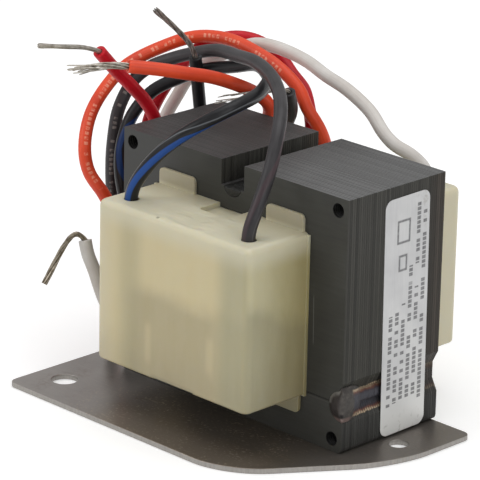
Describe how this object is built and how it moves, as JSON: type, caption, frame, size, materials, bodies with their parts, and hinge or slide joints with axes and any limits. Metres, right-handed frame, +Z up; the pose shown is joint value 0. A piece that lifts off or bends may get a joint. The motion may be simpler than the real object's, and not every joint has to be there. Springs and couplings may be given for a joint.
{
  "type": "transformer",
  "caption": "Small shell-type power transformer: welded EI core on a flat steel plate, moulded coil covers front and back, and loose stranded leads with stripped ends.",
  "frame": {"origin": "on the plate's underside, below the middle of the core", "axes": "+Z up along the coil's axis, +X along the core's width towards the label, -Y towards the front cover"},
  "size_m": [0.1017, 0.0728, 0.0794],
  "materials": {
    "plate_steel": "mottled grey steel sheet with a pale cut edge",
    "core_steel": "dark varnished lamination stack",
    "weld_metal": "rippled bead with heat tint",
    "bobbin_plastic": "moulded, natural colour",
    "copper_wire": "enamelled copper wire",
    "coil_tape": "amber film tape",
    "cover_plastic": "moulded, natural cream, slightly translucent",
    "label_film": "silver film",
    "black_brown_insulation": "black with a brown tracer",
    "black_blue_insulation": "black with a blue tracer",
    "orange_insulation": "satin orange",
    "red_insulation": "satin red",
    "white_insulation": "satin white",
    "tinned_wire": "tinned copper strands"
  },
  "bodies": {
    "root": {"base_plate": "plate_steel", "plate_welds": "weld_metal", "lower_core": "core_steel", "upper_core": "core_steel", "left_seam_weld": "weld_metal", "right_seam_weld": "weld_metal", "yoke_weld": "weld_metal", "bobbin": "bobbin_plastic", "primary_winding": "copper_wire", "secondary_winding": "copper_wire", "primary_tape": "coil_tape", "secondary_tape": "coil_tape", "front_cover": "cover_plastic", "rear_cover": "cover_plastic", "label": "label_film", "black_brown_lead": "black_brown_insulation", "black_brown_conductor": "tinned_wire", "black_blue_lead": "black_blue_insulation", "black_blue_conductor": "tinned_wire", "orange_lead": "orange_insulation", "orange_conductor": "tinned_wire", "red_lead": "red_insulation", "red_conductor": "tinned_wire", "white_lead": "white_insulation", "white_conductor": "tinned_wire"}
  },
  "joints": []
}
